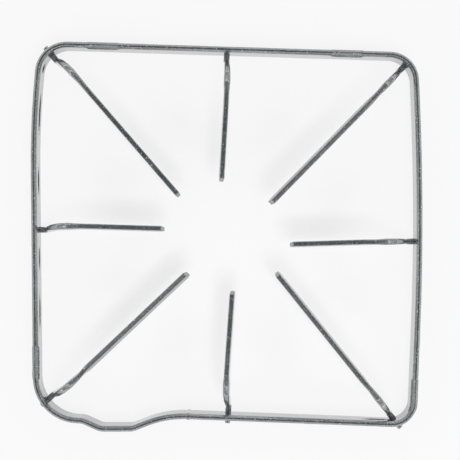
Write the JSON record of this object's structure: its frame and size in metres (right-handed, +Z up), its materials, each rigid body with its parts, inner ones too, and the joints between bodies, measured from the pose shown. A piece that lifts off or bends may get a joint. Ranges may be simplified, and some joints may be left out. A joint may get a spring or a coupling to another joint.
{
  "type": "hob pan support",
  "caption": "Square hob pan support of bent, enamelled steel strip, with raised fingers that point in to the burner and a joggle in the front rail.",
  "frame": {"origin": "on the hob, under the middle of the footprint", "axes": "+Z up from the hob to the pan, +X to the right, -Y to the front, where the joggled rail is"},
  "size_m": [0.2423, 0.2391, 0.0275],
  "materials": {
    "enamel": "gloss dark grey vitreous enamel"
  },
  "bodies": {
    "root": {"frame": "enamel", "finger_back_left": "enamel", "finger_back": "enamel", "finger_back_right": "enamel", "finger_right": "enamel", "finger_front_right": "enamel", "finger_front": "enamel", "finger_front_left": "enamel", "finger_left": "enamel"}
  },
  "joints": []
}
